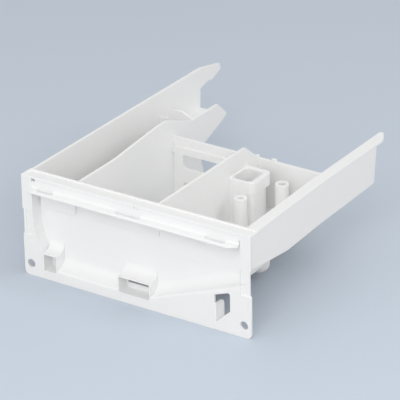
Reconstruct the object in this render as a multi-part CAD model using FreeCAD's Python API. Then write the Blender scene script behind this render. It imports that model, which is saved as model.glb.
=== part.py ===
import FreeCAD, Part
import math
import os

Vector = FreeCAD.Vector

# A washing machine's detergent drawer, moulded as one piece, in millimetres.
# While it is built, Y = 0 is the face of the front plate, Y grows to the rear,
# X = 0 is the middle of the front and Z = 0 is the surface it stands on.

# Walls and front plate
wall = 2.0
front_width = 200.0
front_height = 82.0
front_corner_radius = 3.5
front_top_radius = 1.2
rim_width = 9.0
relief_low = 33.7
relief_high = 54.1
relief_inset = 1.2
relief_step = 0.8
fixing_hole_diameter = 6.6
fixing_hole_inset = 6.0
fixing_hole_height = 9.8
side_inset = 1.0

# Finger recess in the front, with three flat pads on its back wall
recess_depth = 10.0
recess_low = 9.3
recess_slant_high = 35.4
recess_slant_foot = -77.2
recess_slant_radius = 60.0
recess_knee = 9.7
recess_knee_radius = 60.0
recess_slope = 0.385
recess_draft = 0.8
recess_sweep_radius = 9.0
recess_edge_radius = 1.8
pad_thickness = 0.9
left_pad_thickness = 2.2
pad_gap_to_side = 1.2
left_pad_end = -57.5
middle_pad_start = -44.0
middle_pad_end = 16.0
right_pad_start = 21.0
high_pad_low = 55.0
right_pad_low = 44.5
pad_corner_radius = 3.0

# Hooked top edge of the front, with the grip rail along its foot
hook_low = 70.6
apron_setback = 0.8
top_lip_height = 1.5
top_lip_width = 1.4
top_groove_depth = 0.9
rail_reach = 5.4
rail_thickness = 1.9
rail_left_end = -89.7
rail_right_end = 82.0
rail_tip_radius = 1.6
rail_bead_radius = 0.7
rail_blend_radius = 1.6
rail_slot_width = 3.0
left_slot_start = -85.7
left_slot_end = -71.5
middle_slot_start = -15.4
middle_slot_end = 6.0
right_slot_start = 62.4
right_slot_end = 79.0
rail_pip_places = (-51.6, -9.9, 25.4, 67.4)
rail_pip_width = 2.2
rail_pip_height = 1.1
rail_pip_setback = 0.6
rail_end_slit_width = 1.0
rail_end_slit_low = 68.7
rail_end_slit_height = 7.8
apron_notch_width = 4.0
apron_notch_height = 2.4
apron_corner_notch_width = 3.0

# Sockets in the foot of the recess, swept up to its back wall
socket_wall = 1.1
socket_proud = 0.4
socket_sweep_radius = 8.0
left_socket_start = -83.0
left_socket_end = -70.0
left_socket_low = 6.0
left_socket_high = 21.3
left_socket_hole = 3.0
middle_socket_start = -15.4
middle_socket_end = 13.3
middle_socket_low = 6.6
middle_socket_high = 20.9
middle_slot_low = 11.8
middle_slot_high = 17.5

# Cut-out at the right of the plate, with a guide rib and a web behind it
cutout_left = 70.5
cutout_right = 82.4
cutout_low = 6.9
cutout_side_low = 17.8
cutout_margin = 4.2
cutout_step = 1.6
cutout_step_height = 21.2
cutout_radius = 1.6
guide_rib_reach = 9.0
guide_rib_top = 21.0
guide_rib_radius = 4.0

# Compartments: the two deep ones at the left share a floor that falls to the rear
floor_front_height = 16.0
floor_fall_end = 100.0
rear_wall = 147.0
rear_wall_height = 64.5
partition_height = 80.0
left_partition = -57.5
left_partition_shift = 7.0
bend_start = 60.0
bend_end = 128.0
bend_radius = 150.0
middle_partition = 13.5
middle_partition_fall = 129.0
middle_partition_rear_height = 68.5
middle_partition_fall_run = 14.0

# Rear fin, the left partition carried on behind the rear wall
fin_fall_start = 139.0
fin_fall_run = 34.0
fin_height = 67.2
fin_level_end = 210.5
fin_end = 222.6
fin_tip_high = 55.8
fin_tip_low = 53.6
fin_foot = 190.5
fin_foot_height = 41.2
fin_waist = 185.4
fin_waist_height = 29.2
fin_heel = 190.0
fin_heel_height = 15.0
fin_radius = 2.5

# Rear wall of the main compartment: top bar, window, sill and outlet
window_left = -55.5
window_right_margin = 5.0
window_high = 51.0
window_low = 39.0
outlet_high = 27.0
window_radius = 2.0
bar_bead_height = 6.0
bar_bead_proud = 1.2
rear_nub_place = 25.0
rear_nub_width = 4.0
rear_nub_height = 1.8

# Left wall and the guide arm at its rear
arm_fall_start = 236.0
arm_shoulder = 263.0
arm_shoulder_height = 76.4
arm_tip = 265.0
arm_tip_height = 71.2
arm_hook = 251.8
arm_hook_height = 66.2
arm_notch = 246.2
arm_notch_height = 67.2
arm_root = 234.8
arm_root_height = 64.2
arm_radius = 2.0
shelf_end = 234.0
shelf_height = 48.4
shelf_corner_width = 12.0
shelf_corner_run = 36.0
left_end = 176.0
left_end_height = 62.0
heel_rise_run = 20.0
press_tab_left = -88.0
press_tab_height = 70.4
press_tab_bend = -76.0
press_tab_bend_height = 71.4
press_tab_foot_height = 66.4
press_tab_radius = 3.0

# Fabric softener compartment with its siphon tower, post, tube and sump
softener_floor = 25.0
softener_level_end = 62.0
softener_side_height = 46.0
tower_width = 21.5
tower_start = 106.0
tower_end = 132.5
tower_height = 64.0
tower_radius = 5.0
tower_well_margin = 2.4
tower_rim_drop = 9.6
tower_rim_step = 2.2
post_x = 30.0
post_y = 96.0
post_diameter = 10.4
post_height = 56.0
post_hole = 4.4
post_hole_depth = 8.0
tube_x = 44.4
tube_y = 131.0
tube_diameter = 10.6
tube_bore = 6.0
tube_height = 57.0
tube_below_floor = 8.0
sump_x = 52.0
sump_y = 84.0
sump_radius = 9.5
sump_bottom = 6.8
sump_corner_radius = 6.0

# Right runner: a channel, open from below, that draws in behind the front and ends in a tongue
runner_inset = 0.6
runner_taper = 3.0
runner_taper_end = 100.0
runner_bend_radius = 600.0
runner_width = 9.2
skirt_front_height = 54.7
skirt_low = 48.3
skirt_low_place = 53.0
skirt_low_radius = 30.0
skirt_rear_height = 51.0
skirt_foot_end = 178.6
skirt_end = 182.0
skirt_corner_radius = 3.0
tongue_shoulder = 191.7
tongue_tip = 201.7
tongue_tip_width = 3.8
tongue_end = 204.2
tongue_shoulder_radius = 3.0
tongue_tip_radius = 1.5

half_width = front_width / 2
left_face = -half_width + side_inset
recess_half = half_width - rim_width
front_wall_rear = recess_depth + wall
runner_front = half_width - runner_inset
runner_rear = runner_front - runner_taper
overlap = 1.0


def rounded_wire(corners, place):
    """Close a wire through corners (u, v, radius) and round each one by its radius."""
    points = [Vector(corner[0], corner[1], 0) for corner in corners]
    radii = [corner[2] if len(corner) > 2 else 0.0 for corner in corners]
    count = len(points)
    spans = []
    for i in range(count):
        here = points[i]
        back = points[i - 1] - here
        ahead = points[(i + 1) % count] - here
        back.normalize()
        ahead.normalize()
        if radii[i] == 0.0:
            spans.append((here, None, here))
            continue
        half = back.getAngle(ahead) / 2
        run = radii[i] / math.tan(half)
        middle = back + ahead
        middle.normalize()
        spans.append((
            here + back * run,
            here + middle * (radii[i] / math.sin(half) - radii[i]),
            here + ahead * run,
        ))
    edges = []
    for i in range(count):
        start, middle, end = spans[i]
        if middle is not None:
            edges.append(Part.Arc(place(start), place(middle), place(end)).toShape())
        following = spans[(i + 1) % count][0]
        if end.distanceToPoint(following) > 1e-6:
            edges.append(Part.makeLine(place(end), place(following)))
    return Part.Wire(edges)


def front_wire(corners, y):
    return rounded_wire(corners, lambda p: Vector(p.x, y, p.y))


def front_prism(corners, y_start, y_end):
    """Extrude an outline drawn in X and Z from y_start to y_end."""
    return Part.Face(front_wire(corners, y_start)).extrude(Vector(0, y_end - y_start, 0))


def side_prism(corners, x_start, x_end):
    """Extrude an outline drawn in Y and Z from x_start to x_end."""
    wire = rounded_wire(corners, lambda p: Vector(x_start, p.x, p.y))
    return Part.Face(wire).extrude(Vector(x_end - x_start, 0, 0))


def plan_prism(corners, z_start, z_end):
    """Extrude an outline drawn in X and Y from z_start to z_end."""
    wire = rounded_wire(corners, lambda p: Vector(p.x, p.y, z_start))
    return Part.Face(wire).extrude(Vector(0, 0, z_end - z_start))


def block(x_start, x_end, y_start, y_end, z_start, z_end):
    size = (x_end - x_start, y_end - y_start, z_end - z_start)
    return Part.makeBox(*size, Vector(x_start, y_start, z_start))


def rounded_rectangle(u_start, u_end, v_start, v_end, radius):
    return [
        (u_start, v_start, radius),
        (u_end, v_start, radius),
        (u_end, v_end, radius),
        (u_start, v_end, radius),
    ]


def upright(x, y, diameter, z_start, z_end):
    return Part.makeCylinder(diameter / 2, z_end - z_start, Vector(x, y, z_start))


def grown(corners, offset):
    """Move each side of an anticlockwise outline out by offset, with its corner radii."""
    count = len(corners)
    moved = []
    for i, corner in enumerate(corners):
        here = Vector(corner[0], corner[1], 0)
        arriving = here - Vector(*corners[i - 1][:2], 0)
        leaving = Vector(*corners[(i + 1) % count][:2], 0) - here
        arriving.normalize()
        leaving.normalize()
        outward = Vector(arriving.y + leaving.y, -arriving.x - leaving.x, 0)
        place = here + outward * (offset / (1.0 + arriving.dot(leaving)))
        radius = corner[2] + offset if len(corner) > 2 else 0.0
        moved.append((place.x, place.y, radius))
    return moved


def recess_line(x):
    return recess_low + (x - recess_knee) * recess_slope


def recess_corners(draft):
    """Outline of the recess, anticlockwise from its top left, with its sides drawn in by draft."""
    half = recess_half - draft
    top = front_height - wall
    return [
        (-half, top),
        (-half, recess_slant_high, recess_slant_radius),
        (recess_slant_foot + draft, recess_low),
        (recess_knee, recess_low, recess_knee_radius),
        (half, recess_line(half)),
        (half, top),
    ]


def recess_form(offset, y_start, y_end):
    """Drafted form of the recess between two depths, grown by offset."""
    wires = []
    for y in (y_start, y_end):
        corners = grown(recess_corners(recess_draft * y / recess_depth), offset)
        wires.append(front_wire(corners, y))
    return Part.makeLoft(wires, True, True)


def floor_path(y, offset):
    """Line along the recess floor, moved out by offset: level, bent at the knee, then rising."""
    turn = math.atan(recess_slope)
    radius = recess_knee_radius + offset
    centre = Vector(recess_knee - recess_knee_radius * math.tan(turn / 2), y, recess_low + recess_knee_radius)
    bend = [centre + Vector(math.sin(a), 0, -math.cos(a)) * radius for a in (0.0, turn / 2, turn)]
    rise = Vector(math.cos(turn), 0, math.sin(turn)) * ((half_width - bend[2].x) / math.cos(turn))
    level = Part.makeLine(Vector(recess_slant_foot, y, bend[0].z), bend[0])
    return Part.Wire([level, Part.Arc(*bend).toShape(), Part.makeLine(bend[2], bend[2] + rise)])


def floor_corner(y, offset, lean, radius):
    """Bar along the recess floor between a sharp corner and the round that replaces it.

    The lean is 1 for the corner at the back of the recess and -1 for the edge at its mouth.
    """
    x = recess_slant_foot
    z = recess_low - offset
    reach = lean * radius
    margin = lean * overlap
    short = reach * (1 - math.sqrt(0.5))
    outline = [
        Vector(x, y - reach, z),
        Vector(x, y - reach, z - margin),
        Vector(x, y + margin, z - margin),
        Vector(x, y + margin, z + reach),
        Vector(x, y, z + reach),
    ]
    arc = Part.Arc(outline[-1], Vector(x, y - short, z + short), outline[0]).toShape()
    profile = Part.Wire([*Part.makePolygon(outline).Edges, arc])
    return floor_path(y, offset).makePipeShell([profile], True, False)


def front_plate():
    inset = half_width - relief_inset
    corners = []
    for side in (-1, 1):
        column = [
            (side * half_width, 0.0, front_corner_radius),
            (side * half_width, relief_low),
            (side * inset, relief_low + relief_inset),
            (side * inset, relief_high - relief_inset),
            (side * half_width, relief_high),
            (side * half_width, front_height, front_top_radius),
        ]
        corners += column if side > 0 else column[::-1]
    return front_prism(corners, 0.0, wall)


def recessed_front():
    """Plate with the recess sunk into it, its floor swept up at the back and rounded at the mouth."""
    shell = recess_form(wall, 0.0, front_wall_rear)
    shell = shell.cut(floor_corner(front_wall_rear, wall, 1, recess_sweep_radius + wall))
    sweep = floor_corner(recess_depth, 0.0, 1, recess_sweep_radius).common(shell)
    front = front_plate().fuse(shell).cut(recess_form(0.0, -overlap, recess_depth))
    cuts = [floor_corner(0.0, 0.0, -1, recess_edge_radius)]
    for side in (-1, 1):
        edges = sorted((side * recess_half, side * half_width))
        cuts.append(block(*edges, -overlap, relief_step, relief_low, relief_high))
    return front.fuse(sweep).cut(cuts)


def front_cuts():
    """Fixing holes, and the cut-out whose top edge runs along the recess."""
    cuts = []
    for side in (-1, 1):
        place = Vector(side * (half_width - fixing_hole_inset), -overlap, fixing_hole_height)
        cuts.append(Part.makeCylinder(fixing_hole_diameter / 2, wall + 2 * overlap, place, Vector(0, 1, 0)))
    step_left = cutout_left - cutout_step
    cuts.append(front_prism([
        (cutout_left, cutout_low),
        (cutout_right, cutout_side_low, cutout_radius),
        (cutout_right, recess_line(cutout_right) - cutout_margin, cutout_radius),
        (step_left, recess_line(step_left) - cutout_margin),
        (step_left, cutout_step_height),
        (cutout_left, cutout_step_height),
    ], -overlap, wall + overlap))
    return cuts


def cutout_guide():
    """Rib along the cut-out's left edge, and the web that follows its slanted foot."""
    rear = wall + guide_rib_reach
    rib = side_prism([
        (0.0, cutout_low - wall),
        (rear, cutout_low - wall),
        (rear, guide_rib_top, guide_rib_radius),
        (0.0, guide_rib_top),
    ], cutout_left - wall, cutout_left)
    web = front_prism([
        (cutout_left - wall, cutout_low - wall),
        (cutout_left, cutout_low - wall),
        (cutout_right, cutout_side_low - wall),
        (cutout_right, cutout_side_low),
        (cutout_left, cutout_low),
        (cutout_left - wall, cutout_low),
    ], 0.0, rear)
    return [rib, web]


def recess_pads():
    """Flat pads, a little proud of the recess's back wall."""
    side = recess_half - recess_draft - pad_gap_to_side
    top = front_height - wall
    spans = [
        (-side, left_pad_end, high_pad_low, left_pad_thickness),
        (middle_pad_start, middle_pad_end, high_pad_low, pad_thickness),
        (right_pad_start, side, right_pad_low, pad_thickness),
    ]
    pads = []
    for start, end, low, thickness in spans:
        corners = [
            (start, low, pad_corner_radius),
            (end, low, pad_corner_radius),
            (end, top),
            (start, top),
        ]
        pads.append(front_prism(corners, recess_depth - thickness, front_wall_rear))
    return pads


def grip_rail():
    """Rail with a rounded front bead, blended into the apron, and the pips under it."""
    top = hook_low + rail_thickness
    blend_top = top + rail_blend_radius
    plan = plan_prism([
        (-recess_half, wall),
        (-recess_half, 0.0),
        (rail_left_end, -rail_reach, rail_tip_radius),
        (rail_right_end, -rail_reach, rail_tip_radius),
        (recess_half, 0.0),
        (recess_half, wall),
    ], hook_low, blend_top)
    section = side_prism([
        (wall, hook_low),
        (-rail_reach, hook_low, rail_bead_radius),
        (-rail_reach, top, rail_bead_radius),
        (apron_setback, top, rail_blend_radius),
        (apron_setback, blend_top),
        (wall, blend_top),
    ], -recess_half, recess_half)
    front = -rail_reach + rail_pip_setback
    pips = [block(x - rail_pip_width / 2, x + rail_pip_width / 2, front, front + rail_pip_width,
                  hook_low - rail_pip_height, hook_low + rail_thickness / 2) for x in rail_pip_places]
    return [plan.common(section), *pips]


def hook():
    """Apron, top lip and grip rail along the top edge of the front."""
    apron = block(-recess_half, recess_half, apron_setback, apron_setback + wall, hook_low, front_height)
    lip = block(-recess_half, recess_half, 0.0, wall, front_height - top_lip_height, front_height)
    roof = block(-half_width, half_width, 0.0, front_wall_rear, front_height - wall, front_height)
    groove = block(-half_width + wall, half_width - wall, top_lip_width, front_wall_rear - wall,
                   front_height - top_groove_depth, front_height + overlap)
    return [apron, lip, roof, *grip_rail()], groove


def hook_cuts():
    """Slots through the rail, the slit at its right end and the notches under the top lip."""
    cuts = []
    spans = [
        (left_slot_start, left_slot_end),
        (middle_slot_start, middle_slot_end),
        (right_slot_start, right_slot_end),
    ]
    slot_top = hook_low + rail_thickness + rail_blend_radius
    for start, end in spans:
        cuts.append(block(start, end, apron_setback - rail_slot_width, apron_setback,
                          hook_low - overlap, slot_top + overlap))
    behind = apron_setback + wall + overlap
    cuts.append(block(recess_half - rail_end_slit_width, recess_half, -overlap, behind,
                      rail_end_slit_low, rail_end_slit_low + rail_end_slit_height))
    notch_top = front_height - top_lip_height
    notch_low = notch_top - apron_notch_height
    cuts.append(block(0.0, apron_notch_width, -overlap, apron_setback + wall / 2, notch_low, notch_top))
    cuts.append(block(-recess_half, -recess_half + apron_corner_notch_width, -overlap, behind,
                      notch_low, notch_top))
    return cuts


def sockets():
    """Open boxes in the foot of the recess, a little proud of the plate, swept up to the back wall."""
    spans = [
        (left_socket_start, left_socket_end, left_socket_low, left_socket_high),
        (middle_socket_start, middle_socket_end, middle_socket_low, middle_socket_high),
    ]
    shells = []
    hollows = []
    for start, end, low, high in spans:
        shells.append(block(start, end, -socket_proud, front_wall_rear, low, high))
        shells.append(side_prism([
            (front_wall_rear, high - socket_wall),
            (front_wall_rear, high + socket_sweep_radius),
            (recess_depth, high + socket_sweep_radius),
            (recess_depth, high, socket_sweep_radius),
            (recess_depth - socket_sweep_radius, high),
            (recess_depth - socket_sweep_radius, high - socket_wall),
        ], start, end))
        hollows.append(block(start + socket_wall, end - socket_wall, -overlap, recess_depth,
                             low + socket_wall, high - socket_wall))
    hole = Vector(left_socket_end - socket_wall - left_socket_hole, recess_depth - overlap,
                  left_socket_high - socket_wall - left_socket_hole)
    hollows.append(Part.makeCylinder(left_socket_hole / 2, wall + 2 * overlap, hole, Vector(0, 1, 0)))
    slot_margin = 2 * socket_wall
    hollows.append(block(middle_socket_start + slot_margin, middle_socket_end - slot_margin,
                         recess_depth - overlap, front_wall_rear + overlap,
                         middle_slot_low, middle_slot_high))
    return shells, hollows


def deep_floor():
    """Floor of the two deep compartments, falling from the front wall to a level rear part."""
    right = middle_partition
    falling = side_prism([
        (recess_depth, floor_front_height),
        (floor_fall_end, 0.0),
        (rear_wall + wall, 0.0),
        (rear_wall + wall, wall),
        (floor_fall_end, wall),
        (recess_depth, floor_front_height + wall),
    ], left_face, right)
    shifted = left_partition - left_partition_shift
    level = block(left_face, shifted, rear_wall, left_end + wall, 0.0, wall)
    return [falling, level]


def left_wall():
    """Side wall with the long guide arm and its notched tip."""
    return side_prism([
        (0.0, front_height),
        (0.0, floor_front_height),
        (recess_depth, floor_front_height),
        (floor_fall_end, 0.0),
        (left_end + wall, 0.0, wall),
        (left_end + heel_rise_run, shelf_height - wall, fin_radius),
        (shelf_end, shelf_height - wall),
        (arm_root, arm_root_height, arm_radius),
        (arm_notch, arm_notch_height, arm_radius / 2),
        (arm_hook, arm_hook_height, arm_radius / 2),
        (arm_tip, arm_tip_height, arm_radius),
        (arm_shoulder, arm_shoulder_height, arm_radius),
        (arm_fall_start, front_height, arm_radius * 4),
    ], left_face, left_face + wall)


def left_partition_wall():
    """Partition with a gentle double bend in plan and the fin at its rear end."""
    right = left_partition
    shifted = left_partition - left_partition_shift
    plan = plan_prism([
        (right - wall, recess_depth),
        (right, recess_depth),
        (right, bend_start, bend_radius),
        (shifted, bend_end, bend_radius),
        (shifted, fin_end + overlap),
        (shifted - wall, fin_end + overlap),
        (shifted - wall, bend_end, bend_radius),
        (right - wall, bend_start, bend_radius),
    ], 0.0, front_height)
    outline = side_prism([
        (recess_depth, partition_height),
        (recess_depth, floor_front_height),
        (floor_fall_end, 0.0),
        (left_end + wall, 0.0),
        (fin_heel, fin_heel_height, fin_radius),
        (fin_waist, fin_waist_height, fin_radius),
        (fin_foot, fin_foot_height, fin_radius),
        (fin_end, fin_tip_low, fin_radius / 2),
        (fin_end, fin_tip_high, fin_radius / 2),
        (fin_level_end, fin_height, fin_radius),
        (fin_fall_start + fin_fall_run, fin_height, fin_radius * 4),
        (fin_fall_start, partition_height, fin_radius * 4),
    ], -half_width, right + overlap)
    return plan.common(outline)


def left_rear():
    """End wall of the left compartment, the tab that rises from it and the shelf behind."""
    inside = left_face + wall / 2
    partition = left_partition - left_partition_shift - wall / 2
    end_wall = block(inside, partition, left_end, left_end + wall, 0.0, left_end_height)
    tab = front_prism([
        (press_tab_left, left_end_height - wall),
        (partition, left_end_height - wall),
        (partition, press_tab_foot_height),
        (press_tab_bend, press_tab_bend_height, press_tab_radius),
        (press_tab_left, press_tab_height, press_tab_radius / 2),
    ], left_end, left_end + wall)
    shelf = plan_prism([
        (inside, left_end),
        (partition, left_end),
        (partition, shelf_end - shelf_corner_run),
        (partition - shelf_corner_width, shelf_end),
        (inside, shelf_end),
    ], shelf_height - wall, shelf_height)
    return [end_wall, tab, shelf]


def middle_partition_wall():
    """Wall between the main and the softener compartment."""
    return side_prism([
        (recess_depth, partition_height),
        (recess_depth, floor_front_height),
        (floor_fall_end, 0.0),
        (rear_wall + wall, 0.0),
        (rear_wall + wall, middle_partition_rear_height - wall),
        (middle_partition_fall + middle_partition_fall_run, middle_partition_rear_height, fin_radius),
        (middle_partition_fall, partition_height, fin_radius * 2),
    ], middle_partition - wall, middle_partition)


def rear_walls():
    """Rear wall of the main compartment with its bead and openings, and the nub beside it."""
    left = left_partition - left_partition_shift - wall / 2
    main = block(left, middle_partition, rear_wall, rear_wall + wall, 0.0, rear_wall_height)
    bead = block(left, middle_partition - wall / 2, rear_wall - bar_bead_proud, rear_wall + wall / 2,
                 window_high, window_high + bar_bead_height)
    nub = block(rear_nub_place, rear_nub_place + rear_nub_width, rear_wall, rear_wall + wall,
                rear_wall_height - overlap, rear_wall_height + rear_nub_height)
    cuts = []
    window_right = middle_partition - wall - window_right_margin
    for low, high in ((window_low, window_high), (wall, outlet_high)):
        corners = rounded_rectangle(window_left, window_right, low, high, window_radius)
        cuts.append(front_prism(corners, rear_wall - overlap, rear_wall + wall + overlap))
    return [main, bead, nub], cuts


def softener_slope(drop):
    """Corners, from the level floor's right end upward, of the slope below the runner."""
    return [
        (softener_level_end, softener_floor - drop),
        (runner_front - runner_width, softener_side_height - drop),
    ]


def softener_outline(top):
    """Outline in X and Z of all that stands on the softener floor, up to a height."""
    left = middle_partition - wall / 2
    right = runner_front - runner_width + wall
    under = softener_slope(wall)
    return [(left, softener_floor - wall), *under, (right, under[1][1]), (right, top), (left, top)]


def softener_bounds():
    """Space between the middle partition and the runner's inner wall, which draws in to the rear."""
    left = middle_partition - wall / 2
    right = runner_front - runner_width + wall / 2
    rear = rear_wall + wall
    return plan_prism([
        (left, 0.0),
        (right, 0.0),
        (right - runner_taper, runner_taper_end, runner_bend_radius),
        (right - runner_taper, rear),
        (left, rear),
    ], 0.0, front_height)


def softener_shell():
    """Front and rear walls of the softener compartment, and its floor that slopes up to the runner."""
    right = runner_front - runner_width + wall
    over = softener_slope(0.0)
    space = front_prism([
        (middle_partition - wall, softener_floor),
        *over,
        (right + overlap, over[1][1]),
        (right + overlap, front_height),
        (middle_partition - wall, front_height),
    ], recess_depth, rear_wall + wall)
    floor = front_prism(softener_outline(front_height - wall), recess_depth, rear_wall + wall).cut(space)
    front = front_prism(softener_outline(front_height - wall), recess_depth, front_wall_rear)
    rear = front_prism(softener_outline(rear_wall_height), rear_wall, rear_wall + wall)
    bounds = softener_bounds()
    return [floor.common(bounds), front.common(bounds), rear.common(bounds)]


def front_wall():
    """Front wall of the two deep compartments, behind the recess."""
    return block(left_face, middle_partition, recess_depth, front_wall_rear,
                 floor_front_height, front_height)


def siphon_fittings():
    """Siphon tower, post, overflow tube and sump of the softener compartment."""
    bottom = softener_floor - wall / 2
    tower_right = middle_partition + tower_width
    rim = plan_prism([
        (middle_partition - wall / 2, tower_start),
        (tower_right, tower_start, tower_radius),
        (tower_right, tower_end, tower_radius),
        (middle_partition - wall / 2, tower_end),
    ], tower_height - tower_rim_drop, tower_height)
    shaft = plan_prism([
        (middle_partition - wall / 2, tower_start),
        (tower_right - tower_rim_step, tower_start, tower_radius),
        (tower_right - tower_rim_step, tower_end - tower_rim_step, tower_radius),
        (middle_partition - wall / 2, tower_end - tower_rim_step),
    ], bottom, tower_height - tower_rim_drop)
    well = plan_prism(rounded_rectangle(
        middle_partition + wall / 2, tower_right - tower_rim_step - wall,
        tower_start + tower_well_margin, tower_end - tower_rim_step - tower_well_margin,
        tower_radius - wall,
    ), softener_floor, tower_height + overlap)
    post = upright(post_x, post_y, post_diameter, bottom, post_height)
    post_socket = upright(post_x, post_y, post_hole, post_height - post_hole_depth, post_height + overlap)
    foot = softener_floor - tube_below_floor
    tube = upright(tube_x, tube_y, tube_diameter, foot, tube_height)
    bore = upright(tube_x, tube_y, tube_bore, foot - overlap, tube_height + overlap)
    sump = revolved_cup(sump_radius, sump_bottom, softener_floor - wall / 2, sump_corner_radius)
    sump_hollow = revolved_cup(sump_radius - wall, sump_bottom + wall, softener_floor + overlap,
                               sump_corner_radius - wall)
    return [rim, shaft, post, tube, sump], [well, post_socket, bore, sump_hollow]


def revolved_cup(radius, bottom, top, corner_radius):
    """Round cup form about the sump's axis, with a rounded bottom edge."""
    wire = rounded_wire([
        (0.0, bottom),
        (radius, bottom, corner_radius),
        (radius, top),
        (0.0, top),
    ], lambda p: Vector(sump_x + p.x, sump_y, p.y))
    return Part.Face(wire).revolve(Vector(sump_x, sump_y, 0), Vector(0, 0, 1), 360)


def runner_strip(near, far, rear):
    """Plan corners of a strip between two distances from the runner's outer face."""
    return [
        (runner_front - far, 0.0),
        (runner_front - near, 0.0),
        (runner_rear - near, runner_taper_end, runner_bend_radius),
        (runner_rear - near, rear),
        (runner_rear - far, rear),
        (runner_rear - far, runner_taper_end, runner_bend_radius),
    ]


def right_runner():
    """Outer skirt, top flange with its tongue, and the inner wall of the runner channel."""
    skirt = plan_prism(runner_strip(0.0, wall, skirt_end), 0.0, front_height).common(side_prism([
        (0.0, front_height),
        (0.0, skirt_front_height),
        (skirt_low_place, skirt_low, skirt_low_radius),
        (skirt_foot_end, skirt_rear_height, skirt_corner_radius),
        (skirt_end, front_height),
    ], 0.0, half_width))
    inner = runner_rear - runner_width
    flange = plan_prism([
        (runner_front - runner_width, 0.0),
        (runner_front, 0.0),
        (runner_rear, runner_taper_end, runner_bend_radius),
        (runner_rear, tongue_shoulder, tongue_shoulder_radius),
        (inner + tongue_tip_width, tongue_tip, tongue_tip_radius),
        (inner, tongue_end, tongue_tip_radius),
        (inner, runner_taper_end, runner_bend_radius),
    ], front_height - wall, front_height)
    strip = runner_strip(runner_width - wall, runner_width, rear_wall + wall)
    standing = front_prism(softener_outline(front_height), recess_depth, rear_wall + wall)
    inner_wall = plan_prism(strip, 0.0, front_height).common(standing)
    return [skirt, flange, inner_wall]


def drawer():
    """Join the walls, then open the recess, sockets, holes and windows."""
    hook_solids, hook_groove = hook()
    socket_shells, socket_hollows = sockets()
    rear_solids, rear_cuts = rear_walls()
    fitting_solids, fitting_hollows = siphon_fittings()
    solids = [*recess_pads(), *hook_solids, *socket_shells, *cutout_guide(), *deep_floor(), front_wall(),
              left_wall(), left_partition_wall(), *left_rear(), middle_partition_wall(), *rear_solids,
              *softener_shell(), *fitting_solids, *right_runner()]
    body = recessed_front().multiFuse(solids)
    cuts = [hook_groove, *hook_cuts(), *socket_hollows, *front_cuts(), *rear_cuts, *fitting_hollows]
    body = body.cut(cuts).removeSplitter()
    box = body.BoundBox
    body.translate(Vector(0, -(box.YMin + box.YMax) / 2, 0))
    return body


shape = drawer()
os.makedirs("parts", exist_ok=True)
shape.exportStep("parts/drawer_body.step")
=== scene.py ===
import logging
import math
from dataclasses import dataclass, field
from enum import Enum

import bmesh
import bpy
from mathutils import Matrix, Vector


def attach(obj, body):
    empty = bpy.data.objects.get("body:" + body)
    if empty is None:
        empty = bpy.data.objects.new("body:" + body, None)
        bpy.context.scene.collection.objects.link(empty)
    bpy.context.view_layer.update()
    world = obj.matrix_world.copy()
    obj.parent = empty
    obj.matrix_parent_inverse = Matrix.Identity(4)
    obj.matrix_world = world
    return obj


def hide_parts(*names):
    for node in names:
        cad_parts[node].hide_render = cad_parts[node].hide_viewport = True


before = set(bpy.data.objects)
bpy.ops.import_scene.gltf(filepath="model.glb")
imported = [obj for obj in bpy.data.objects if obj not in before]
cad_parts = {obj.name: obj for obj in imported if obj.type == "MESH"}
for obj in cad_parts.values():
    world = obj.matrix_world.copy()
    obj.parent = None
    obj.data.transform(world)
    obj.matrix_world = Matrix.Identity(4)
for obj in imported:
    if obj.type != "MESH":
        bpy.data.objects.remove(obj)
LOG = logging.getLogger("detergent_drawer")
NODE = "drawer_body"
BODY = "root"
MM = 0.001
OPAQUE = 1.0

Triple = tuple[float, float, float]
Tree = bpy.types.NodeTree
Group = bpy.types.ShaderNodeTree
Socket = bpy.types.NodeSocket
Value = Socket | float
Tint = Socket | Triple


class Output(Enum):
    """Outputs of the shared surface groups."""

    HEIGHT = "Height"
    MASK = "Mask"


class GroupName(Enum):
    """Names of the shader groups that the finishes share."""

    SPARK_GRAIN = "spark_eroded_grain"
    FLOW_CLOUD = "melt_flow_cloud"
    HANDLING = "handling_marks"


class Sum(Enum):
    """Sums that a Math node does with two values."""

    ADD = "ADD"
    SUBTRACT = "SUBTRACT"
    MULTIPLY = "MULTIPLY"
    HIGHER = "MAXIMUM"
    LOWER = "MINIMUM"


Groups = dict[GroupName, Group]


def feed(tree: Tree, value: Socket | float | tuple[float, ...], target: Socket) -> None:
    """Link a socket to an input, or set the input to a plain value.

    Args:
        tree: tree that holds the input.
        value: a socket, a number or several numbers.
        target: the input.
    """
    if isinstance(value, Socket):
        tree.links.new(value, target)
    else:
        target.default_value = value


def math_node(tree: Tree, kind: Sum, first: Value, second: Value) -> Socket:
    """Add a Math node.

    Args:
        tree: tree that gets the node.
        kind: the sum that it does.
        first: a socket or a number.
        second: a socket or a number.

    Returns:
        The node's value socket.
    """
    node = tree.nodes.new("ShaderNodeMath")
    node.operation = kind.value
    for place, value in enumerate((first, second)):
        feed(tree, value, node.inputs[place])
    return node.outputs[0]


def mix_node(tree: Tree, factor: Socket, first: Tint, second: Tint) -> Socket:
    """Add a colour mix.

    Args:
        tree: tree that gets the node.
        factor: share of the second colour.
        first: a socket or three numbers.
        second: a socket or three numbers.

    Returns:
        The mixed colour's socket.
    """
    node = tree.nodes.new("ShaderNodeMix")
    node.data_type = "RGBA"
    tree.links.new(factor, node.inputs["Factor"])
    colours = [socket for socket in node.inputs if socket.type == "RGBA"]
    for target, tint in zip(colours, (first, second)):
        feed(tree, tint if isinstance(tint, Socket) else (*tint, OPAQUE), target)
    return next(socket for socket in node.outputs if socket.type == "RGBA")


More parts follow.
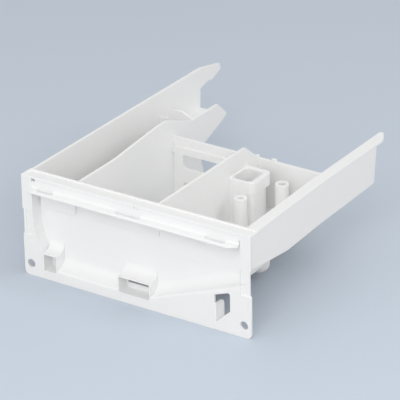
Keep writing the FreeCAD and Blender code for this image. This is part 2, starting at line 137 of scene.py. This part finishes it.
def noise_node(tree: Tree, vector: Socket, scale: Value, octaves: float, share: float) -> Socket:
    """Add a Noise Texture.

    Args:
        tree: tree that gets the node.
        vector: coordinates of the pattern.
        scale: a socket or a number, per metre.
        octaves: number of octaves.
        share: share of each finer octave.

    Returns:
        The node's factor socket.
    """
    node = tree.nodes.new("ShaderNodeTexNoise")
    node.inputs["Detail"].default_value = octaves
    node.inputs["Roughness"].default_value = share
    tree.links.new(vector, node.inputs["Vector"])
    feed(tree, scale, node.inputs["Scale"])
    return node.outputs["Fac"]


def new_group(name: GroupName, inputs: dict[str, float], output: Output) -> Group:
    """Start a shader group with float inputs and one float output.

    Args:
        name: name of the group.
        inputs: default value of each input, by its name.
        output: the group's one output.

    Returns:
        The empty node tree with its group input and output nodes placed.
    """
    tree = bpy.data.node_groups.new(name.value, "ShaderNodeTree")
    tree.interface.new_socket("Vector", in_out="INPUT", socket_type="NodeSocketVector")
    for label, value in inputs.items():
        socket = tree.interface.new_socket(label, in_out="INPUT", socket_type="NodeSocketFloat")
        socket.default_value = value
    tree.interface.new_socket(output.value, in_out="OUTPUT", socket_type="NodeSocketFloat")
    tree.nodes.new("NodeGroupInput").name = "in"
    tree.nodes.new("NodeGroupOutput").name = "out"
    return tree


def place_group(tree: Tree, group: Group, vector: Socket, values: dict[str, float]) -> Socket:
    """Place a shared group in a material.

    Args:
        tree: the material's node tree.
        group: the group to place.
        vector: coordinates for its pattern.
        values: input values by name.

    Returns:
        The group's one output socket.
    """
    node = tree.nodes.new("ShaderNodeGroup")
    node.node_tree = group
    tree.links.new(vector, node.inputs["Vector"])
    for label, value in values.items():
        node.inputs[label].default_value = value
    return node.outputs[0]


@dataclass(frozen=True)
class SparkGrain:
    """Fine grain that an eroded mould leaves on plastic.

    Attributes:
        scale: fineness of the grain, per metre.
        soft: weight of the broader grain under it.
        broad_share: scale of the broader grain as a share of the fine one's.
        octaves: octaves of both noises.
        octave_share: share of each finer octave.
    """

    scale: float = 1500.0
    soft: float = 0.35
    broad_share: float = 0.13
    octaves: float = 2.0
    octave_share: float = 0.5

    def group(self) -> Group:
        """Build the grain's shader group.

        Returns:
            Group with inputs Vector, Scale and Soft, and output Height.
        """
        inputs = {"Scale": self.scale, "Soft": self.soft}
        tree = new_group(GroupName.SPARK_GRAIN, inputs, Output.HEIGHT)
        given, out = tree.nodes["in"].outputs, tree.nodes["out"].inputs
        fine = noise_node(tree, given["Vector"], given["Scale"], self.octaves, self.octave_share)
        wide = math_node(tree, Sum.MULTIPLY, given["Scale"], self.broad_share)
        broad = noise_node(tree, given["Vector"], wide, self.octaves, self.octave_share)
        softened = math_node(tree, Sum.MULTIPLY, broad, given["Soft"])
        height = math_node(tree, Sum.ADD, fine, softened)
        tree.links.new(height, out[Output.HEIGHT.value])
        return tree


@dataclass(frozen=True)
class FlowCloud:
    """Faint clouding that flowing melt leaves along the moulding.

    Attributes:
        scale: fineness of the clouds, per metre.
        stretch: scale along the drawer as a share of that across it.
        octaves: octaves of the noise.
        octave_share: share of each finer octave.
    """

    scale: float = 9.0
    stretch: float = 0.3
    octaves: float = 4.0
    octave_share: float = 0.55

    def group(self) -> Group:
        """Build the clouding's shader group.

        Returns:
            Group with inputs Vector, Scale and Stretch, and output Mask.
        """
        inputs = {"Scale": self.scale, "Stretch": self.stretch}
        tree = new_group(GroupName.FLOW_CLOUD, inputs, Output.MASK)
        given, out = tree.nodes["in"].outputs, tree.nodes["out"].inputs
        along = tree.nodes.new("ShaderNodeCombineXYZ")
        along.inputs["X"].default_value = 1.0
        along.inputs["Z"].default_value = 1.0
        tree.links.new(given["Stretch"], along.inputs["Y"])
        stretched = tree.nodes.new("ShaderNodeVectorMath")
        stretched.operation = "MULTIPLY"
        tree.links.new(given["Vector"], stretched.inputs[0])
        tree.links.new(along.outputs["Vector"], stretched.inputs[1])
        where = stretched.outputs["Vector"]
        cloud = noise_node(tree, where, given["Scale"], self.octaves, self.octave_share)
        tree.links.new(cloud, out[Output.MASK.value])
        return tree


@dataclass(frozen=True)
class HandlingMarks:
    """Sparse hair-fine rub marks, as on a moulding that was packed and handled.

    Attributes:
        scale: fineness of the marks, per metre.
        amount: strength of the mask.
        runs: turn in radians and narrowness of each direction of rubbing.
        side_turn: share of a run's turn that it also gets sideways.
        hair_octaves: octaves of the hair noise.
        hair_share: share of its finer octaves.
        hair_floor: hair noise under this leaves no mark.
        hair_gain: how fast a mark grows above that.
        patch_scale: fineness of the rubbed patches, per metre.
        patch_octaves: octaves of the patch noise.
        patch_share: share of its finer octaves.
        patch_floor: patch noise under this is unrubbed.
        patch_gain: how fast a patch grows above that.
        most: upper end of the mask.
    """

    scale: float = 60.0
    amount: float = 0.5
    runs: tuple[tuple[float, float], ...] = ((0.4, 30.0), (1.9, 22.0))
    side_turn: float = 0.6
    hair_octaves: float = 1.0
    hair_share: float = 0.4
    hair_floor: float = 0.72
    hair_gain: float = 9.0
    patch_scale: float = 14.0
    patch_octaves: float = 2.0
    patch_share: float = 0.5
    patch_floor: float = 0.5
    patch_gain: float = 6.0
    most: float = 1.0

    def group(self) -> Group:
        """Build the marks' shader group.

        Returns:
            Group with inputs Vector, Scale and Amount, and output Mask.
        """
        inputs = {"Scale": self.scale, "Amount": self.amount}
        tree = new_group(GroupName.HANDLING, inputs, Output.MASK)
        given, out = tree.nodes["in"].outputs, tree.nodes["out"].inputs
        total = None
        for turn, narrow in self.runs:
            hair = self.hair(tree, given, turn, narrow)
            total = hair if total is None else math_node(tree, Sum.HIGHER, total, hair)
        patches = noise_node(tree, given["Vector"], self.patch_scale, self.patch_octaves,
                             self.patch_share)
        rubbed = math_node(tree, Sum.SUBTRACT, patches, self.patch_floor)
        where = math_node(tree, Sum.HIGHER, rubbed, 0.0)
        inside = math_node(tree, Sum.MULTIPLY, total, where)
        sparse = math_node(tree, Sum.MULTIPLY, inside, self.patch_gain)
        amount = math_node(tree, Sum.MULTIPLY, sparse, given["Amount"])
        mask = math_node(tree, Sum.LOWER, amount, self.most)
        tree.links.new(mask, out[Output.MASK.value])
        return tree

    def hair(self, tree: Group, given: bpy.types.NodeOutputs, turn: float, narrow: float) -> Socket:
        """Add the marks of one direction of rubbing.

        Args:
            tree: the marks' group.
            given: the group's inputs.
            turn: turn of the direction in radians.
            narrow: how many times narrower than long the marks are.

        Returns:
            The marks' strength, from zero up.
        """
        mapping = tree.nodes.new("ShaderNodeMapping")
        mapping.inputs["Rotation"].default_value = (turn, self.side_turn * turn, turn)
        mapping.inputs["Scale"].default_value = (1.0, narrow, 1.0)
        tree.links.new(given["Vector"], mapping.inputs["Vector"])
        where = mapping.outputs["Vector"]
        hair = noise_node(tree, where, given["Scale"], self.hair_octaves, self.hair_share)
        peak = math_node(tree, Sum.SUBTRACT, hair, self.hair_floor)
        raised = math_node(tree, Sum.MULTIPLY, peak, self.hair_gain)
        return math_node(tree, Sum.HIGHER, raised, 0.0)


@dataclass(frozen=True)
class MouldedPlastic:
    """Satin white polypropylene with grain, flow clouding and faint rub marks.

    Attributes:
        name: name of the material.
        light: colour where the clouding is pale.
        shade: colour where the clouding is dark.
        cloud_scale: fineness of the clouding, per metre.
        cloud_stretch: its scale along the drawer as a share of that across it.
        roughness: roughness where the clouding is dark.
        roughness_spread: what pale clouding adds to the roughness.
        specular: specular level of the plastic.
        glow_share: share of the light that goes through the skin.
        glow_depth: how deep that light goes, in metres.
        glow_reach: how far each colour of it goes.
        grain_scale: fineness of the grain, per metre.
        grain_strength: strength of the grain in the shading.
        grain_depth: depth of the grain, in metres.
        marks_scale: fineness of the rub marks, per metre.
        marks_amount: strength of the rub marks.
        marks_roughness: what a mark adds to the roughness.
        marks_depth: depth of a mark against the grain's.
    """

    name: str = "satin_polypropylene"
    light: Triple = (0.945, 0.945, 0.942)
    shade: Triple = (0.92, 0.921, 0.919)
    cloud_scale: float = 14.0
    cloud_stretch: float = 0.35
    roughness: float = 0.36
    roughness_spread: float = 0.1
    specular: float = 0.45
    glow_share: float = 0.3
    glow_depth: float = 1.0 * MM
    glow_reach: Triple = (1.0, 0.95, 0.9)
    grain_scale: float = 1500.0
    grain_strength: float = 0.05
    grain_depth: float = 0.05 * MM
    marks_scale: float = 55.0
    marks_amount: float = 0.5
    marks_roughness: float = 0.14
    marks_depth: float = 0.6

    def material(self, groups: Groups) -> bpy.types.Material:
        """Build the node material.

        Args:
            groups: the shared surface groups by name.

        Returns:
            The finished material.
        """
        material = bpy.data.materials.new(self.name)
        material.use_nodes = True
        tree = material.node_tree
        shader = tree.nodes["Principled BSDF"].inputs
        shader["Specular IOR Level"].default_value = self.specular
        shader["Subsurface Weight"].default_value = self.glow_share
        shader["Subsurface Radius"].default_value = self.glow_reach
        shader["Subsurface Scale"].default_value = self.glow_depth
        where = tree.nodes.new("ShaderNodeTexCoord").outputs["Object"]
        cloud = place_group(tree, groups[GroupName.FLOW_CLOUD], where,
                            {"Scale": self.cloud_scale, "Stretch": self.cloud_stretch})
        marks = place_group(tree, groups[GroupName.HANDLING], where,
                            {"Scale": self.marks_scale, "Amount": self.marks_amount})
        grain = place_group(tree, groups[GroupName.SPARK_GRAIN], where,
                            {"Scale": self.grain_scale})
        tree.links.new(mix_node(tree, cloud, self.shade, self.light), shader["Base Color"])
        spread = math_node(tree, Sum.MULTIPLY, cloud, self.roughness_spread)
        rough = math_node(tree, Sum.ADD, spread, self.roughness)
        rubbed = math_node(tree, Sum.MULTIPLY, marks, self.marks_roughness)
        tree.links.new(math_node(tree, Sum.ADD, rough, rubbed), shader["Roughness"])
        bump = tree.nodes.new("ShaderNodeBump")
        bump.inputs["Strength"].default_value = self.grain_strength
        bump.inputs["Distance"].default_value = self.grain_depth
        worn = math_node(tree, Sum.MULTIPLY, marks, self.marks_depth)
        height = math_node(tree, Sum.SUBTRACT, grain, worn)
        tree.links.new(height, bump.inputs["Height"])
        tree.links.new(bump.outputs["Normal"], shader["Normal"])
        return material


@dataclass(frozen=True)
class PaleBoard:
    """Matt pale board, cool to the eye and neutral in the light that it gives back.

    Attributes:
        name: name of the material.
        seen: colour that the camera and reflections see.
        given: colour of the light that it gives back.
        roughness: roughness of the board.
        specular: specular level of the board.
        cloud_scale: fineness of its clouding, per metre.
        cloud_stretch: the clouding's scale along the drawer as a share of that across it.
        cloud_low: brightness where the clouding is dark.
    """

    name: str = "pale_board"
    seen: Triple = (0.62, 0.69, 0.78)
    given: Triple = (0.53, 0.545, 0.565)
    roughness: float = 0.7
    specular: float = 0.2
    cloud_scale: float = 3.0
    cloud_stretch: float = 1.0
    cloud_low: float = 0.98

    def material(self, groups: Groups) -> bpy.types.Material:
        """Build the floor's material.

        Args:
            groups: the shared surface groups by name.

        Returns:
            The finished material.
        """
        material = bpy.data.materials.new(self.name)
        material.use_nodes = True
        tree = material.node_tree
        shader = tree.nodes["Principled BSDF"].inputs
        shader["Roughness"].default_value = self.roughness
        shader["Specular IOR Level"].default_value = self.specular
        where = tree.nodes.new("ShaderNodeTexCoord").outputs["Object"]
        cloud = place_group(tree, groups[GroupName.FLOW_CLOUD], where,
                            {"Scale": self.cloud_scale, "Stretch": self.cloud_stretch})
        low = tuple(self.cloud_low * part for part in self.seen)
        tone = mix_node(tree, cloud, low, self.seen)
        path = tree.nodes.new("ShaderNodeLightPath").outputs
        direct = math_node(tree, Sum.HIGHER, path["Is Camera Ray"], path["Is Glossy Ray"])
        tree.links.new(mix_node(tree, direct, self.given, tone), shader["Base Color"])
        return material


@dataclass
class DrawerShell:
    """The one-piece moulding, with the small edge rounding that a mould gives.

    Attributes:
        name: name of the piece.
        seam: points nearer than this are one point.
        merge_angle: faces that turn less than this become one face.
        edge_radius: rounding of the outer corners.
        edge_segments: faces across a rounding.
        edge_room: least width of the faces beside a rounded edge.
        edge_shortest: shorter edges stay sharp.
        end_room: least length of the side edges at a rounded edge's ends.
        chain_angle: an edge that turns less than this carries the rounding on.
        flat_angle: borders that turn less than this don't limit a face.
        curve_run: lengths of the edges that are also measured straight across.
        curve_room: least width straight across from such an edge.
        room_places: where along an edge it is measured, as shares of its length.
        corner_angle: outer corners that turn more than this are rounded.
        arc_angle: other edges that turn less than this are shaded smooth.
        lean_angle: shading may lean this far off its face.
        finish: what the moulding is made of.
    """

    name: str = "drawer_shell"
    seam: float = 0.002 * MM
    merge_angle: float = math.radians(0.5)
    edge_radius: float = 0.25 * MM
    edge_segments: int = 2
    edge_room: float = 0.8 * MM
    edge_shortest: float = 0.25 * MM
    end_room: float = 0.9 * MM
    chain_angle: float = math.radians(35.0)
    flat_angle: float = math.radians(1.0)
    curve_run: tuple[float, float] = (1.5 * MM, 6.0 * MM)
    curve_room: float = 0.4 * MM
    room_places: tuple[float, ...] = (0.02, 0.35, 0.65, 0.98)
    corner_angle: float = math.radians(60.0)
    arc_angle: float = math.radians(50.0)
    lean_angle: float = math.radians(60.0)
    finish: MouldedPlastic = field(default_factory=MouldedPlastic)

    def room_beside(self, edge: bmesh.types.BMEdge) -> float:
        """Measure how much of its two faces lies beside an edge.

        Args:
            edge: an edge between two faces.

        Returns:
            The faces' mean width, or the distance of their nearest point where that is less.
        """
        start, end = (vert.co for vert in edge.verts)
        length = edge.calc_length()
        run = (end - start) / length
        widths = [face.calc_area() / length for face in edge.link_faces]
        for vert in {vert for face in edge.link_faces for vert in face.verts} - set(edge.verts):
            ahead = (vert.co - start).dot(run)
            if 0.0 < ahead < length:
                widths.append((vert.co - start - ahead * run).length)
        return min(widths)

    def room_across(self, loop: bmesh.types.BMLoop) -> list[float]:
        """Measure a face straight across from one of its edges.

        Args:
            loop: the edge's side in the face.

        Returns:
            Distances to the borders that lie across from the edge.
        """
        start, length = loop.vert.co, loop.edge.calc_length()
        run = (loop.link_loop_next.vert.co - start) / length
        inward = loop.face.normal.cross(run)
        widths = []
        for other in loop.face.edges:
            if other.calc_face_angle() < self.flat_angle:
                continue
            ends = [vert.co - start for vert in other.verts]
            (ahead, off), (ahead_end, off_end) = ((end.dot(run), end.dot(inward)) for end in ends)
            for place in (share * length for share in self.room_places):
                if (ahead - place) * (ahead_end - place) < 0.0:
                    widths.append(off + (off_end - off) * (place - ahead) / (ahead_end - ahead))
        return [width for width in widths if width > self.seam]

    def roundable(self, edge: bmesh.types.BMEdge) -> bool:
        """Tell whether an edge is an outer corner with room for its rounding.

        Args:
            edge: an edge between two faces.

        Returns:
            True for a long outer corner whose faces are wide and whose ends touch no short edge.
        """
        length = edge.calc_length()
        if edge.calc_face_angle_signed() < self.corner_angle or length < self.edge_shortest:
            return False
        for vert in edge.verts:
            run = (edge.other_vert(vert).co - vert.co).normalized()
            for other in set(vert.link_edges) - {edge}:
                away = other.other_vert(vert).co - vert.co
                straight_on = -away.dot(run) > away.length * math.cos(self.chain_angle)
                if not straight_on and away.length < self.end_room:
                    return False
        shortest, longest = self.curve_run
        if shortest < length < longest:
            across = [width for loop in edge.link_loops for width in self.room_across(loop)]
            if min(across, default=self.edge_room) < self.curve_room:
                return False
        return self.room_beside(edge) > self.edge_room

    def mark_edges(self, form: bmesh.types.BMesh) -> None:
        """Weight the edges that get rounded, and keep the other corners sharp.

        Args:
            form: the merged moulding.
        """
        weight = form.edges.layers.float.new("bevel_weight_edge")
        for face in form.faces:
            face.smooth = True
        for edge in form.edges:
            rounded = self.roundable(edge)
            edge[weight] = float(rounded)
            edge.smooth = rounded or edge.calc_face_angle() < self.arc_angle

    def merged(self) -> bpy.types.Mesh:
        """Copy the frame's solid, merge it to clean faces and mark its edges.

        Returns:
            The moulding before its rounding.
        """
        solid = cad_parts[NODE].data
        points = [vert.co for vert in solid.vertices]
        faces = [tuple(face.vertices) for face in solid.polygons]
        mesh = bpy.data.meshes.new(self.name)
        mesh.from_pydata(points, [], faces)
        form = bmesh.new()
        form.from_mesh(mesh)
        bmesh.ops.remove_doubles(form, verts=form.verts, dist=self.seam)
        bmesh.ops.dissolve_limit(form, angle_limit=self.merge_angle, verts=form.verts,
                                 edges=form.edges, delimit={"NORMAL"})
        self.mark_edges(form)
        form.to_mesh(mesh)
        form.free()
        return mesh

    def build(self) -> bpy.types.Object:
        """Round the edges of the merged moulding.

        Returns:
            The visible moulding as a plain mesh object at the origin.
        """
        shell = bpy.data.objects.new(self.name, self.merged())
        bpy.context.scene.collection.objects.link(shell)
        bevel = shell.modifiers.new("edge_rounding", "BEVEL")
        bevel.width = self.edge_radius
        bevel.segments = self.edge_segments
        bevel.limit_method = "WEIGHT"
        bevel.use_clamp_overlap = False
        bevel.harden_normals = True
        bevel.miter_outer = "MITER_SHARP"
        shell.modifiers.new("seam_weld", "WELD").merge_threshold = self.seam
        graph = bpy.context.evaluated_depsgraph_get()
        rounded = bpy.data.meshes.new_from_object(shell.evaluated_get(graph), depsgraph=graph)
        shell.modifiers.clear()
        shell.data = rounded
        rounded.name = self.name
        self.settle_normals(rounded)
        return shell

    def settle_normals(self, mesh: bpy.types.Mesh) -> None:
        """Give the rounding's strips, and corners that lean far off, their face's own normal.

        Args:
            mesh: the rounded moulding.
        """
        normals = [corner.vector.copy() for corner in mesh.corner_normals]
        points = mesh.vertices
        for face in mesh.polygons:
            longest = max((points[a].co - points[b].co).length for a, b in face.edge_keys)
            strip = face.area < self.edge_radius * longest
            for corner in face.loop_indices:
                if strip or normals[corner].dot(face.normal) < math.cos(self.lean_angle):
                    normals[corner] = face.normal.copy()
        mesh.normals_split_custom_set(normals)

    def dress(self, shell: bpy.types.Object, groups: Groups) -> None:
        """Give the moulding its finish and put it in place of the frame's node.

        Args:
            shell: the visible moulding.
            groups: the shared surface groups by name.
        """
        shell.data.materials.clear()
        shell.data.materials.append(self.finish.material(groups))
        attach(shell, BODY)
        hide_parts(NODE)


@dataclass(frozen=True)
class SoftLamp:
    """A square soft lamp that faces the moulding.

    Attributes:
        name: name of the lamp.
        place: where it hangs, in metres.
        size: its side length in metres.
        power: its power in watts.
        aim: the point that it faces, in metres.
    """

    name: str
    place: Triple
    size: float
    power: float
    aim: Triple = (0.0, -0.03, 0.04)

    def hang(self) -> None:
        """Create the lamp and turn it to the moulding."""
        data = bpy.data.lights.new(self.name, "AREA")
        data.size = self.size
        data.energy = self.power
        lamp = bpy.data.objects.new(self.name, data)
        lamp.location = self.place
        facing = Vector(self.aim) - Vector(self.place)
        lamp.rotation_mode = "QUATERNION"
        lamp.rotation_quaternion = facing.to_track_quat("-Z", "Y")
        bpy.context.scene.collection.objects.link(lamp)


@dataclass(frozen=True)
class Studio:
    """Pale floor, soft lamps and an even sky round the moulding.

    Attributes:
        floor_name: name of the floor.
        floor_size: side length of the floor in metres.
        floor_cells: cells along each side of the floor.
        board: what the floor is made of.
        sky: colour of the sky.
        sky_level: strength of the sky at the horizon.
        sky_zenith: strength of the sky overhead.
        lamps: the soft lamps.
    """

    floor_name: str = "studio_floor"
    floor_size: float = 6.0
    floor_cells: int = 2
    board: PaleBoard = field(default_factory=PaleBoard)
    sky: Triple = (1.0, 1.0, 1.0)
    sky_level: float = 0.76
    sky_zenith: float = 0.58
    lamps: tuple[SoftLamp, ...] = (
        SoftLamp("key_softbox", place=(0.6, -1.35, 1.05), size=0.9, power=8.6),
        SoftLamp("fill_softbox", place=(-0.35, -1.65, 0.4), size=1.2, power=4.0),
        SoftLamp("side_softbox", place=(1.2, 0.1, 1.0), size=0.5, power=3.5),
    )

    def floor(self, groups: Groups) -> None:
        """Lay the floor that the moulding stands on.

        Args:
            groups: the shared surface groups by name.
        """
        mesh = bpy.data.meshes.new(self.floor_name)
        form = bmesh.new()
        bmesh.ops.create_grid(form, x_segments=self.floor_cells, y_segments=self.floor_cells,
                              size=self.floor_size / 2)
        form.to_mesh(mesh)
        form.free()
        mesh.materials.append(self.board.material(groups))
        board = bpy.data.objects.new(self.floor_name, mesh)
        bpy.context.scene.collection.objects.link(board)

    def light(self) -> None:
        """Set the sky and hang the lamps."""
        world = bpy.data.worlds.new("studio_sky")
        bpy.context.scene.world = world
        world.use_nodes = True
        tree = world.node_tree
        background = tree.nodes["Background"].inputs
        background["Color"].default_value = (*self.sky, OPAQUE)
        heading = tree.nodes.new("ShaderNodeSeparateXYZ")
        where = tree.nodes.new("ShaderNodeTexCoord").outputs["Generated"]
        tree.links.new(where, heading.inputs["Vector"])
        change = self.sky_zenith - self.sky_level
        rise = math_node(tree, Sum.MULTIPLY, heading.outputs["Z"], change)
        strength = math_node(tree, Sum.ADD, rise, self.sky_level)
        tree.links.new(strength, background["Strength"])
        for lamp in self.lamps:
            lamp.hang()


@dataclass(frozen=True)
class PhotoCamera:
    """Camera at the photograph's viewing angle.

    Attributes:
        name: name of the camera.
        eye: where it stands, in metres.
        azimuth: degrees that it stands to the right of the front.
        elevation: degrees that it looks down.
        roll: degrees that it is turned about its view.
        focal_pixels: focal length in pixels of the photograph.
        image_pixels: width of the photograph in pixels.
        sensor: width of the sensor in millimetres.
        near: nearest distance that it sees, in metres.
        far: farthest distance that it sees, in metres.
    """

    name: str = "photo_camera"
    eye: Triple = (1.05406, -1.61374, 0.95503)
    azimuth: float = 33.86
    elevation: float = 25.56
    roll: float = -0.97
    focal_pixels: float = 2813.0
    image_pixels: float = 400.0
    sensor: float = 36.0
    near: float = 0.05
    far: float = 30.0

    def axes(self) -> Matrix:
        """Work out which way the camera is turned.

        Returns:
            The camera's own axes, one in each column.
        """
        turn, rise, roll = (math.radians(v) for v in (self.azimuth, self.elevation, self.roll))
        flat = math.cos(rise)
        back = Vector((math.sin(turn) * flat, -math.cos(turn) * flat, math.sin(rise)))
        level = (-back).cross(Vector((0.0, 0.0, 1.0))).normalized()
        up = level.cross(-back)
        right = math.cos(roll) * level + math.sin(roll) * up
        top = -math.sin(roll) * level + math.cos(roll) * up
        return Matrix((right, top, back)).transposed()

    def place(self) -> None:
        """Create the camera and make it the scene's own."""
        data = bpy.data.cameras.new(self.name)
        data.sensor_width = self.sensor
        data.lens = self.sensor * self.focal_pixels / self.image_pixels
        data.clip_start, data.clip_end = self.near, self.far
        camera = bpy.data.objects.new(self.name, data)
        camera.matrix_world = Matrix.Translation(Vector(self.eye)) @ self.axes().to_4x4()
        bpy.context.scene.collection.objects.link(camera)
        bpy.context.scene.camera = camera


def main() -> None:
    """Build the moulding, the studio and the camera in order, and note the sizes."""
    logging.basicConfig(level=logging.INFO)
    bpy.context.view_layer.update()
    bpy.context.scene.view_settings.view_transform = "Standard"
    groups = {
        GroupName.SPARK_GRAIN: SparkGrain().group(),
        GroupName.FLOW_CLOUD: FlowCloud().group(),
        GroupName.HANDLING: HandlingMarks().group(),
    }
    drawer = DrawerShell()
    shell = drawer.build()
    drawer.dress(shell, groups)
    LOG.info("%s: %d faces", shell.name, len(shell.data.polygons))
    studio = Studio()
    studio.floor(groups)
    LOG.info("%s: %d lamps over it", studio.floor_name, len(studio.lamps))
    studio.light()
    PhotoCamera().place()


if __name__ == "__main__":
    main()
